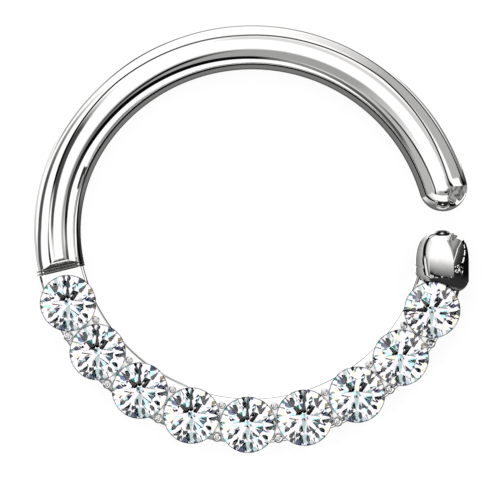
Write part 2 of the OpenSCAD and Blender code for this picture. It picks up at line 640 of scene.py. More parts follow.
@dataclass(frozen=True)
class PolishedSteel:
    """Mirror polished surgical steel: faint marks, a slight waviness, and painted shade in its creases."""

    name: str = Slot.STEEL.value
    light: Colour = (0.70, 0.695, 0.69, 1)
    dark: Colour = (0.64, 0.635, 0.63, 1)
    # Painted shade: the dark colour that ambient occlusion lays on the base colour in creases.
    crease: Colour = (0.025, 0.025, 0.03, 1)
    crease_reach: float = 0.12
    crease_open: tuple[float, float] = (0.12, 0.58)
    crease_samples: int = 8
    roughness: float = 0.035
    least_share: float = 0.6
    marks_share: float = 0.8
    marks_per_mm: float = 9.0
    marks_detail: float = 3.0
    wave_per_mm: float = 0.55
    wave_height: float = 0.004

    def material(self) -> bpy.types.Material:
        """The finish as a material.

        Returns:
            The material.
        """
        material, shop = new_material(self.name)
        here = shop.place()
        marks = shop.noise(here, self.marks_per_mm, self.marks_detail)
        wave = shop.noise(here, self.wave_per_mm, 0.0)
        bump = shop.node("ShaderNodeBump", inputs={
            "Strength": 1.0, "Distance": self.wave_height * MM, "Height": wave})
        # Painted shade: where ambient occlusion finds a crease, the base colour goes over to the dark crease
        # colour.
        openness = shop.node(
            "ShaderNodeAmbientOcclusion", {"samples": self.crease_samples},
            {"Distance": self.crease_reach * MM}, "AO")
        unshaded_share = shop.smooth(openness, *self.crease_open)
        shop.surface(shop.node("ShaderNodeBsdfPrincipled", inputs={
            "Base Color": shop.mixed(unshaded_share, self.crease, shop.mixed(marks, self.dark, self.light)),
            "Metallic": 1.0,
            "Roughness": self.roughness * (self.least_share + self.marks_share * marks),
            "Normal": bump}))
        return material


@dataclass(frozen=True)
class CutZirconia:
    """Clear cut zirconia: heavy bending of light, a breath of cold tint, and a ground edge at the girdle."""

    plan: RingPlan
    cold: Colour = (0.97, 0.995, 1.0, 1)
    warm: Colour = (1.0, 0.998, 0.98, 1)
    tint_per_mm: float = 1.3
    edge: Colour = (0.10, 0.11, 0.12, 1)
    edge_width: float = 0.025
    index: float = 2.16

    def material(self) -> bpy.types.Material:
        """The finish as a material.

        Returns:
            The material.
        """
        material, shop = new_material(Slot.STONE.value)
        here = shop.place()
        tint = shop.noise(here, self.tint_per_mm, 1.0)
        ground = self._from_axis(shop, here) > self.plan.stone_d / 2 - self.edge_width
        shop.surface(shop.node("ShaderNodeBsdfPrincipled", inputs={
            "Base Color": shop.mixed(ground, shop.mixed(tint, self.cold, self.warm), self.edge),
            "Roughness": 0.0,
            "IOR": self.index,
            "Transmission Weight": 1.0}))
        return material

    def _from_axis(self, shop: NodeShop, here: Reading) -> Reading:
        """How far a point lies from the axis of the nearest stone in the row.

        Args:
            shop: the material's nodes.
            here: the point in millimetres.

        Returns:
            The distance in millimetres.
        """
        plan = self.plan
        step = math.radians(plan.row_span / (plan.stone_count - 1))
        first = math.radians(plan.stone_angle(0))
        x = shop.axis(here, "X") - plan.hub.x
        y = shop.axis(here, "Y") - plan.hub.y
        turn = shop.math("MODULO", shop.math("ARCTAN2", y, x) + (math.tau - first), math.tau)
        off = shop.math("PINGPONG", turn, step / 2)
        radius = shop.vector("LENGTH", {0: shop.node("ShaderNodeCombineXYZ", inputs={0: x, 1: y})}, "Value")
        along = radius * shop.math("COSINE", off) - plan.stone_ring_r
        aside = radius * shop.math("SINE", off)
        return shop.math("SQRT", along * along + aside * aside)


@dataclass(frozen=True)
class PaleFloor:
    """A matt white card with a faint grain."""

    own_light: float = 0.82
    white: float = 0.22
    grain_per_mm: float = 2.0
    grain_detail: float = 3.0
    grain_share: float = 0.04

    def material(self) -> bpy.types.Material:
        """The finish as a material.

        Returns:
            The material.
        """
        material, shop = new_material("pale_floor")
        grain = shop.noise(shop.place(), self.grain_per_mm, self.grain_detail)
        level = self.white * (1 - self.grain_share / 2 + self.grain_share * grain)
        shop.surface(shop.node("ShaderNodeBsdfPrincipled", inputs={
            "Base Color": shop.grey(level),
            "Roughness": 1.0,
            "Specular IOR Level": 0.0,
            "Emission Color": (1, 1, 1, 1),
            "Emission Strength": self.own_light}))
        return material


@dataclass
class Piece:
    """A finished metal piece: its name, its material, its slot, the node that it stands for, its creases."""

    name: str
    material: bpy.types.Material
    slot: Slot = Slot.STEEL
    node: str = METAL_NODE
    crease: float = 25.0

    def finish(self, worked: Solid) -> None:
        """Brings a worked piece to metres and hands it to the frame.

        Args:
            worked: the piece in millimetres.
        """
        Bench.settle(worked, Matrix.Scale(MM, 4))
        worked.name = self.name
        worked.data.name = self.name
        worked.data.materials.clear()
        worked.data.materials.append(self.material)
        bpy.ops.object.shade_smooth_by_angle(angle=math.radians(self.crease))
        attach(worked, BODY)
        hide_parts(self.node)
        LOG.info("%s: %d faces", self.name, len(worked.data.polygons))


@dataclass
class HoopBar:
    """The round bar: two tangent bends, a rounded free end, and a rounded step down to the seam."""

    plan: RingPlan
    sides: int = 128
    degrees_a_step: float = 1.0
    tip_steps: int = 24

    def worked(self) -> Solid:
        """The bar, swept through its bends and filed at the seam.

        Returns:
            The bar in millimetres.
        """
        plan = self.plan
        radius = plan.bar_d / 2
        bends = ((plan.shoulder_turn, plan.shoulder_centre), (plan.bow_turn, plan.bow_centre))
        bar = Bench.ring(self.sides, radius, plan.seam, (math.radians(90), 0, math.radians(plan.seam_angle)))
        with Bench.editing(bar):
            for turn, centre in bends:
                Bench.sweep(turn, centre, UP, round(turn / self.degrees_a_step))
            self._round_tip(bar, radius)
            Bench.close()
        return Bench.cut(bar, self._seam_file(), Cut.AWAY)

    def _round_tip(self, bar: Solid, radius: float) -> None:
        """Draws the free end out to a half ball, in edit mode.

        Args:
            bar: the bar, with the loop at its free end selected.
            radius: the bar's radius.
        """
        heading = polar(1, self.plan.tip_heading)
        slopes = [math.radians(90 * k / self.tip_steps) for k in range(self.tip_steps)]
        for before, now in zip(slopes, slopes[1:]):
            advance = radius * (math.sin(now) - math.sin(before))
            Bench.draw_out(bar, heading * advance, math.cos(now) / math.cos(before))
        Bench.to_a_point(bar, heading * radius * (1 - math.sin(slopes[-1])))

    def _seam_file(self) -> Solid:
        """What the file takes off the front at the seam: a flat band and a round up from it.

        Returns:
            The cutter in its place.
        """
        plan = self.plan
        step = plan.seam_band + plan.seam_round
        flat = plan.bar_d - plan.seam_round
        long = step + HAIR
        bpy.ops.mesh.primitive_cube_add(size=1, location=(0, long / 2 - HAIR, flat + plan.bar_d / 2))
        file = bpy.context.object
        file.scale = (2 * plan.bar_d, long, plan.bar_d)
        Bench.settle(file)
        across = Matrix.Translation((-plan.bar_d, step, flat)) @ Matrix.Rotation(math.radians(90), 4, "Y")
        ends = (-HAIR, 2 * plan.bar_d + HAIR)
        rod = Bench.turned([(plan.seam_round, end) for end in ends], across, self.sides)
        Bench.cut(file, rod, Cut.AWAY)
        return Bench.settle(file, plan.seam_place)


@dataclass
class SeamRibs:
    """Two thin half-round ribs over the flat band at the seam."""

    plan: RingPlan
    count: int = 2
    proud: float = 0.03
    side_proud: float = 0.003
    corner_r: float = 0.07
    start: float = 97.0
    sides: int = 20
    side_steps: int = 30
    corner_steps: int = 12

    def worked(self) -> Solid:
        """The ribs, side by side along the bar.

        Returns:
            The ribs in millimetres.
        """
        pitch = self.plan.seam_band / self.count
        rib = self._rib(pitch / 2)
        steps = [Matrix.Translation((0, pitch * (k + 0.5), 0)) for k in range(self.count)]
        ribs = [Bench.copied(rib, self.plan.seam_place @ step) for step in steps]
        bpy.data.objects.remove(rib)
        return Bench.joined(ribs)

    def _rib(self, rib_r: float) -> Solid:
        """One rib across the bar, its path up one side, over the flat and down the other.

        Args:
            rib_r: the rib's own radius.

        Returns:
            The rib, at the bench's origin.
        """
        plan = self.plan
        bar_r = plan.bar_d / 2
        path_r = bar_r - rib_r + self.side_proud
        flat = plan.bar_d - plan.seam_round - rib_r + self.proud - bar_r
        corner = math.degrees(math.acos((flat - self.corner_r) / (path_r - self.corner_r)))
        start = math.radians(self.start)
        foot = (path_r * math.sin(start), 0, bar_r + path_r * math.cos(start))
        rib = Bench.ring(self.sides, rib_r, foot, (0, start - math.radians(90), 0))
        side = (path_r - self.corner_r) * math.sin(math.radians(corner))
        level = bar_r + flat - self.corner_r
        middle = Vector((0, 0, bar_r))
        axis = Vector((0, 1, 0))
        with Bench.editing(rib):
            Bench.sweep(self.start - corner, middle, axis, self.side_steps)
            Bench.sweep(corner, Vector((side, 0, level)), axis, self.corner_steps)
            Bench.draw_out(rib, Vector((-2 * side, 0, 0)))
            Bench.sweep(corner, Vector((-side, 0, level)), axis, self.corner_steps)
            Bench.sweep(self.start - corner, middle, axis, self.side_steps)
            Bench.close()
        return rib


@dataclass
class StoneRail:
    """The curved rail under the stones, with a cone seat and a light hole for each."""

    plan: RingPlan
    degrees_a_step: float = 1.0
    edge_steps: int = 4

    def worked(self) -> Solid:
        """The rail, swept from its section, with its seats cut.

        Returns:
            The rail in millimetres.
        """
        plan = self.plan
        rail = self._section()
        with Bench.editing(rail):
            bpy.ops.mesh.delete(type="ONLY_FACE")
            bpy.ops.mesh.select_all(action="SELECT")
            Bench.sweep(-plan.rail_sweep, plan.hub, UP, round(plan.rail_sweep / self.degrees_a_step))
            Bench.close()
        for place in range(plan.stone_count):
            Bench.cut(rail, seat_cutter(plan, place), Cut.AWAY)
        return rail

    def _section(self) -> Solid:
        """The rail's section, its front edges rounded and its back edges chamfered.

        Returns:
            The section at the seam.
        """
        plan = self.plan
        bpy.ops.mesh.primitive_plane_add(size=1)
        section = bpy.context.object
        section.scale = (plan.rail_w, plan.rail_h, 1)
        Bench.settle(section)
        front = (1, plan.front_bevel, self.edge_steps)
        back = (-1, plan.back_bevel, 1)
        with Bench.editing(section):
            for side, offset, steps in (front, back):
                Bench.pick(section, lambda co, side=side: co.y * side > 0)
                bpy.ops.mesh.bevel(
                    offset=offset, offset_type="OFFSET", affect="VERTICES", segments=steps, profile=0.5)
        stand = Matrix.Rotation(math.radians(90), 4, "X")
        turn = Matrix.Rotation(math.radians(plan.seam_angle), 4, "Z")
        middle = plan.hub + polar(plan.rail_r, plan.seam_angle, plan.rail_h / 2)
        return Bench.settle(section, Matrix.Translation(middle) @ turn @ stand)


def seat_cutter(plan: RingPlan, place: float) -> Solid:
    """What the setter's burr takes out for one stone: a light hole that opens into a cone.

    Args:
        plan: the ring's sizes.
        place: the stone's place in the row.

    Returns:
        The cutter in millimetres.
    """
    top = plan.girdle_z + plan.girdle_h
    hole = plan.light_hole_d / 2
    outline = [(hole, -HAIR), (hole, plan.seat_height(hole)), (plan.seat_radius(top), top)]
    return Bench.turned(outline, placed(plan.hub + polar(plan.stone_ring_r, plan.stone_angle(place))))


@dataclass
class BeadProngs:
    """A line of beads on posts, one at each joint between stones."""

    plan: RingPlan
    line_r: float
    bead_d: float
    lift: float = 0.1
    post_share: float = 0.78
    pip_share: float = 0.3
    pip_depth: float = 0.03
    pip_bend_share: float = 0.55
    pip_bend_depth: float = 0.06
    steps: int = 20
    sides: int = 48

    def worked(self) -> Solid:
        """The line of beads in millimetres."""
        return Bench.joined([self._trimmed(place) for place in range(1, self.plan.stone_count)])

    def _outline(self) -> Outline:
        """A bead's outline from its post's foot up to the small pip that the setting tool leaves.

        Returns:
            (radius, height) pairs.
        """
        radius = self.bead_d / 2
        middle = self.plan.girdle_z + self.lift
        low = -math.degrees(math.acos(self.post_share))
        high = 90 - math.degrees(math.asin(self.pip_share))
        slopes = [math.radians(low + (high - low) * k / self.steps) for k in range(self.steps + 1)]
        post = [(radius * self.post_share, self.plan.rail_h / 2)]
        ball = [(radius * math.cos(slope), middle + radius * math.sin(slope)) for slope in slopes]
        rim = ball[-1][1]
        bend = (radius * self.pip_share * self.pip_bend_share, rim - self.pip_bend_depth * self.bead_d)
        return post + ball + [bend, (0, rim - self.pip_depth)]

    def _trimmed(self, place: int) -> Solid:
        """One bead, trimmed for the stones beside it.

        Args:
            place: the place in the row of the stone after it.

        Returns:
            The bead in millimetres.
        """
        plan = self.plan
        at = plan.hub + polar(self.line_r, plan.stone_angle(place - 0.5))
        bead = Bench.turned(self._outline(), placed(at), self.sides)
        for stone in (place - 1, place):
            Bench.cut(bead, seat_cutter(plan, stone), Cut.AWAY)
        return bead


@dataclass
class EndCap:
    """The barrel below the gap: a straight belly, a squarish dome and a slanted, rounded foot.

    The foot laps over the last stone's edge, and a scoop in it leaves room for the stone.
    """

    plan: RingPlan
    dome_h: float = 0.88
    dome_power: float = 2.5
    foot_round: float = 0.34
    dome_steps: int = 48
    foot_steps: int = 16
    sides: int = 160

    def worked(self) -> Solid:
        """The cap: what its barrel and its foot share, less the scoop.

        Returns:
            The cap in millimetres.
        """
        plan = self.plan
        foot = plan.cap_foot
        length = plan.hub.y + plan.cap_top - foot.y + plan.cap_d
        base = Vector((foot.x, plan.hub.y + plan.cap_top - length, foot.z))
        barrel = Bench.turned(self._barrel(length), placed(base, upright=True), self.sides)
        low, high = self._insets()
        aside = polar((high - low) / 2, -plan.foot_slant)
        place = placed(foot + aside, -plan.foot_slant, upright=True)
        Bench.cut(barrel, Bench.turned(self._foot(2 * length), place, self.sides), Cut.KEEP_SHARED)
        return Bench.cut(barrel, self._scoop(), Cut.AWAY)

    def _insets(self) -> tuple[float, ...]:
        """How far in from the foot's low corner and its high corner the rounding starts."""
        return tuple(self.foot_round / math.tan(math.radians(90 + lean) / 2)
                     for lean in (-self.plan.foot_slant, self.plan.foot_slant))

    def _scoop(self) -> Solid:
        """The room for the last stone: a cone under the girdle with straight walls above it.

        Returns:
            The cutter in its place.
        """
        plan = self.plan
        wide = plan.stone_d / 2 + plan.scoop_gap
        rim = plan.seat_height(wide)
        outline = [(plan.seat_gap, plan.girdle_z - plan.pavilion_h), (wide, rim), (wide, rim + plan.cap_d)]
        last = plan.hub + polar(plan.stone_ring_r, plan.stone_angle(plan.stone_count - 1))
        return Bench.turned(outline, placed(last), self.sides)

    def _barrel(self, length: float) -> Outline:
        """The outline of the belly and dome, from a base that the foot cuts away.

        Args:
            length: the barrel's length in millimetres.

        Returns:
            (radius, height) pairs.
        """
        radius = self.plan.cap_d / 2
        lifts = [math.sin(math.radians(90 * k / self.dome_steps)) for k in range(self.dome_steps)]
        dome = [(radius * (1 - lift ** self.dome_power) ** (1 / self.dome_power),
                 length - self.dome_h * (1 - lift)) for lift in lifts]
        return [(radius, 0)] + dome + [(0, length)]

    def _foot(self, length: float) -> Outline:
        """The outline of the foot: a rounded edge under a flare that clears the upright belly.

        Args:
            length: how far the flare reaches, in millimetres.

        Returns:
            (radius, height) pairs.
        """
        slant = math.radians(self.plan.foot_slant)
        wide = self.plan.cap_d / 2 / math.cos(slant) + self.foot_round - sum(self._insets()) / 2
        turns = [math.radians(90 * k / self.foot_steps) for k in range(self.foot_steps + 1)]
        edge = [(wide - self.foot_round * (1 - math.sin(turn)), self.foot_round * (1 - math.cos(turn)))
                for turn in turns]
        return edge + [(wide + length * math.tan(2 * slant), length)]


@dataclass
class StoneRow:
    """The frame's nine brilliants in their clear finish."""

    frame: dict
    material: bpy.types.Material
    prefix: str = "stone_"

    def dress(self) -> None:
        """Gives each stone its finish."""
        for name, node in sorted(self.frame["nodes"].items()):
            if name.startswith(self.prefix):
                node.data.materials.clear()
                node.data.materials.append(self.material)
                LOG.info("%s: %d faces", name, len(node.data.polygons))


class Wall(Enum):
    """The two halves of the tent: one that the bar's outer side mirrors, and one that its inner side does."""

    OUTER = 1
    INNER = -1


@dataclass(frozen=True)
class Strip:
    """A strip of grey or black cloth on the tent's wall.

    Each station is the place round the bar that mirrors it, its height over the horizon, its half width,
    all in degrees, and its strength from 0 to 1. They are listed with the place rising.
    """

    wall: Wall
    grey: float
    stations: tuple[tuple[float, float, float, float], ...]
    soft: float = 1.5


STRIPS = (
    Strip(Wall.OUTER, 198, ((146, -42, 10, 0), (156, -40, 9, 0.6), (182, -38, 12, 1), (196, -34, 14, 1)), 6),
    Strip(Wall.OUTER, 125, ((17, -42, 17, 1), (32, -44, 10, 1), (44, -38, 7, 0.8), (52, -38, 5, 0)), 4),
    Strip(Wall.OUTER, 176, (
        (17, 8, 27, 1), (50, 8, 23, 1), (62, 7, 18, 0.6), (78, 8, 14, 0.15), (96, 8, 10, 0)), 3),
    Strip(Wall.OUTER, 205, (
        (17, 58, 9, 1), (34, 56, 9, 1), (60, 54, 8, 0.8), (92, 53, 7, 0.8), (102, 52, 6, 0)), 4),
    Strip(Wall.OUTER, 80, (
        (130, 15, 4, 0), (146, 6, 7, 0.8), (164, 3, 10, 1), (180, 1, 11, 1), (190, -12, 12, 1)), 4),
    Strip(Wall.OUTER, 70, (
        (128, 46, 3, 0), (146, 53, 10, 1), (156, 54, 12, 1), (172, 66, 8, 1), (181, 68, 6, 1),
        (190, 70, 4, 0.3)), 3),
    Strip(Wall.OUTER, 12, (
        (17, 56, 3, 1), (30, 43, 4, 1), (50, 31, 4, 1), (72, 37, 4, 0.95), (92, 40, 4, 0.9),
        (112, 36, 4, 0.95), (130, 31, 4, 1), (150, 40, 5, 1), (166, 48, 5, 1), (178, 51, 2.5, 0.5),
        (190, 47, 5, 1)), 1),
    Strip(Wall.OUTER, 25, (
        (17, -22, 5, 1), (45, -19, 5, 1), (90, -18, 4.5, 0.6), (108, -18, 4.5, 0.75), (122, -20, 5, 1),
        (134, -17, 6, 0.6), (150, -20, 6, 0.7), (166, -21, 4, 0)), 1),
    Strip(Wall.OUTER, 20, ((193.6, 0, 24, 0), (194.2, 0, 24, 1), (196.8, 0, 24, 1)), 2),
    Strip(Wall.INNER, 160, (
        (28, 60, 6, 0), (42, 55, 12, 0.6), (60, 52, 20, 1), (90, 54, 19, 1), (112, 58, 16, 1),
        (128, 61, 10, 1), (162, 62, 9, 1), (180, 62, 7, 0.6), (193, 60, 12, 0.9), (196.8, 58, 9, 0.5)), 5),
    Strip(Wall.INNER, 182, ((17, 18, 26, 1), (44, 20, 23, 1), (58, 24, 15, 0.8), (70, 24, 10, 0)), 5),
    Strip(Wall.INNER, 130, ((116, 5, 3, 0), (134, 5, 5, 1), (148, 5, 5, 0.8), (162, 3, 3, 0)), 2),
    Strip(Wall.INNER, 12, (
        (94, 69, 3, 0), (110, 65, 5, 1), (124, 62, 5, 1), (142, 62, 5, 0.7), (156, 63, 4, 0.3)), 2),
    Strip(Wall.INNER, 20, ((17, 50, 4, 0.9), (32, 45, 4.5, 1), (44, 41, 4, 0.9), (56, 39, 3, 0)), 1),
    Strip(Wall.INNER, 6, (
        (28, 7, 3, 0), (38, 10, 8, 0.85), (58, 18, 8, 0.85), (80, 27, 7, 0.75), (90, 29, 8, 1),
        (110, 36.5, 9, 1), (130, 43.5, 10, 1), (150, 49.5, 8.5, 1), (164, 51, 8, 0.95), (174, 47, 7, 1),
        (182, 45, 6, 0.85), (193, 50, 9, 1), (196.8, 56, 3, 1)), 2),
    Strip(Wall.INNER, 118, (
        (17, -50, 46, 1), (158, -50, 46, 1), (174, -59, 42, 1), (182, -60, 41, 1), (193, -50, 46, 1)), 2),
    Strip(Wall.INNER, 84, ((17, -76, 24, 1), (150, -76, 24, 1), (196, -76, 24, 1)), 8),
    Strip(Wall.INNER, 45, (
        (162, -60, 20, 0), (174, -60, 38, 0.7), (182, -60, 39, 1), (193, -60, 44, 1),
        (196.8, -60, 30, 0.4)), 5),
    Strip(Wall.INNER, 10, (
        (17, -11, 5, 1), (60, -11, 6, 1), (90, -11, 6, 0.95), (112, -12, 8, 1), (154, -12, 8.5, 1),
        (164, -18, 6, 0.8), (174, -25, 7, 1), (184, -30, 9, 1), (193, -28, 12, 1), (196.8, -22, 5, 1))),
)


@dataclass(frozen=True)
class Patch:
    """A round patch in the sky over the stones: its place as a share of X and Y, its radius and its light."""

    x: float
    y: float
    radius: float
    light: Triple


PATCHES = (
    Patch(0.26, 0.0, 0.08, (0.0, 0.01, 0.02)),
    Patch(0.0, -0.26, 0.075, (0.01, 0.02, 0.12)),
    Patch(0.39, -0.13, 0.07, (0.03, 0.05, 0.16)),
    Patch(0.26, -0.26, 0.08, (0.0, 0.01, 0.02)),
    Patch(-0.26, -0.26, 0.085, (0.0, 0.0, 0.01)),
    Patch(0.14, 0.13, 0.05, (0.01, 0.01, 0.01)),
    Patch(-0.13, -0.12, 0.045, (0.0, 0.02, 0.03)),
    Patch(-0.26, 0.13, 0.055, (0.03, 0.38, 0.35)),
    Patch(-0.40, 0.10, 0.07, (0.01, 0.01, 0.01)),
    Patch(-0.13, 0.38, 0.055, (0.42, 0.24, 0.12)),
    Patch(0.13, 0.28, 0.05, (0.18, 0.15, 0.36)),
    Patch(0.0, 0.0, 0.027, (0.0, 0.0, 0.0)),
)


@dataclass(frozen=True)
class Tent:
    """White cloth all round with grey and black strips for the metal, and an own sky for the stones."""

    white: float = 1.6
    plain: float = 1.0
    first_place: float = 16.8
    stone_white: Colour = (1.24, 1.28, 1.29, 1)
    stone_grey: Triple = (0.85, 0.96, 1.0)
    glint_height: float = 0.12
    fire: float = 0.04
    red_fire: float = 0.42
    blue_fire: float = 0.2
    scraps: float = 22.0
    scrap_share: float = 0.13
    scrap_light: float = 0.01
    greys: float = 14.0
    grey_share: float = 0.2
    grey_levels: tuple[float, float] = (0.5, 1.0)

    def hang(self) -> None:
        """Makes the tent the scene's world: plain cloth, but for what metal mirrors and stones gather."""
        world = bpy.data.worlds.new("tent")
        bpy.context.scene.world = world
        world.use_nodes = True
        world.cycles.sampling_method = "NONE"
        shop = NodeShop(world)
        rays = ("Is Glossy Ray", "Is Singular Ray", "Is Transmission Ray")
        mirrored, off_facet, through = (shop.node("ShaderNodeLightPath", output=ray) for ray in rays)
        way = shop.node("ShaderNodeTexCoord", output="Generated")
        plain = self.even(self.plain)
        colour = shop.mixed(mirrored, plain, self._metal_light(shop, way))
        glint = shop.mixed(shop.axis(way, "Z") < self.glint_height, self.even(0.0), plain)
        colour = shop.mixed(off_facet * mirrored, colour, glint)
        colour = shop.mixed(through, colour, self._stone_light(shop, way))
        shop.surface(shop.node("ShaderNodeBackground", inputs={"Color": colour, "Strength": 1.0}))

    @staticmethod
    def even(level: float) -> Colour:
        """An even grey of that level."""
        return (level, level, level, 1)

    def _metal_light(self, shop: NodeShop, way: Reading) -> Reading:
        """What polished metal mirrors: the white cloth and its strips.

        Args:
            shop: the world's nodes.
            way: the direction looked in.

        Returns:
            The colour from that way.
        """
        ahead = polar(1, self.first_place + 90)
        aside = polar(1, self.first_place + 180)
        forth = shop.vector("DOT_PRODUCT", {0: way, 1: ahead}, "Value")
        across = shop.vector("DOT_PRODUCT", {0: way, 1: aside}, "Value")
        place = shop.math("ARCTANGENT", across / forth) / math.pi + 0.5
        height = shop.math("ARCSINE", shop.axis(way, "Z")) * math.degrees(1)
        sides = {Wall.OUTER: forth > 0.0, Wall.INNER: forth < 0.0}
        colour = self.even(self.white)
        for strip in STRIPS:
            cover = self._cover(shop, strip, place, height) * sides[strip.wall]
            colour = shop.mixed(cover, colour, self.even(seen(strip.grey)))
        return colour

    def _cover(self, shop: NodeShop, strip: Strip, place: Reading, height: Reading) -> Reading:
        """How much of the wall a strip covers.

        Args:
            shop: the world's nodes.
            strip: the strip.
            place: the place round the bar, from 0 to 1.
            height: degrees over the horizon.

        Returns:
            From 0 to the strip's strength.
        """
        stops = [((at - self.first_place) / 180, (rise / 180 + 0.5, half / 90, strength, 1))
                 for at, rise, half, strength in strip.stations]
        stops = [(min(max(at, 0.0), 1.0), value) for at, value in stops]
        path = shop.node("ShaderNodeValToRGB", {"stops": stops}, {"Fac": place})
        middle = (shop.part(path, "Red") - 0.5) * 180
        half = shop.part(path, "Green") * 90
        cover = shop.smooth(shop.size(height - middle), half + strip.soft, half - strip.soft)
        return cover * shop.part(path, "Blue")

    def _stone_light(self, shop: NodeShop, way: Reading) -> Reading:
        """What the stones gather: their sky, tinted where red and blue light comes from another part of it.

        Args:
            shop: the world's nodes.
            way: the direction looked in.

        Returns:
            The colour from that way.
        """
        flat = shop.vector("MULTIPLY", {0: way, 1: (1, 1, 0)})
        bent = {"Red": (1 + self.fire, self.red_fire), "Blue": (1 - self.fire, self.blue_fire)}
        parts = {"Green": 1.0}
        for name, (reach, share) in bent.items():
            spread = shop.vector("SCALE", {0: flat, "Scale": reach})
            parts[name] = share * shop.part(self._stone_sky(shop, spread), name) + (1 - share)
        tint = shop.node("ShaderNodeCombineColor", inputs=parts)
        return shop.vector("MULTIPLY", {0: self._stone_sky(shop, flat), 1: tint})

    def _stone_sky(self, shop: NodeShop, flat: Reading) -> Reading:
        """White cloth with small grey and black scraps all over and larger patches, as the stones see it.

        Args:
            shop: the world's nodes.
            flat: the direction looked in, without its height.

        Returns:
            The colour there.
        """
        scraps = self._cells(shop, flat, self.scraps)
        greys = shop.part(self._cells(shop, flat, self.greys), "Red") / self.grey_share
        low, high = self.grey_levels
        level = shop.node("ShaderNodeMapRange", inputs={"Value": greys, "To Min": low, "To Max": high})
        grey = shop.vector("SCALE", {0: self.stone_grey, "Scale": level})
        colour = shop.mixed(greys < 1.0, self.stone_white, grey)
        colour = shop.mixed(shop.part(scraps, "Red") < self.scrap_share, colour, self.even(self.scrap_light))
        for patch in PATCHES:
            away = shop.vector("DISTANCE", {0: flat, 1: (patch.x, patch.y, 0)}, "Value")
            colour = shop.mixed(away < patch.radius, colour, (*patch.light, 1))
        return colour

    @staticmethod
    def _cells(shop: NodeShop, flat: Reading, scale: float) -> Reading:
        """A random colour for each cell of the sky, that many cells to a unit."""
        return shop.node(
            "ShaderNodeTexVoronoi", {"voronoi_dimensions": "2D"}, {"Vector": flat, "Scale": scale}, "Color")


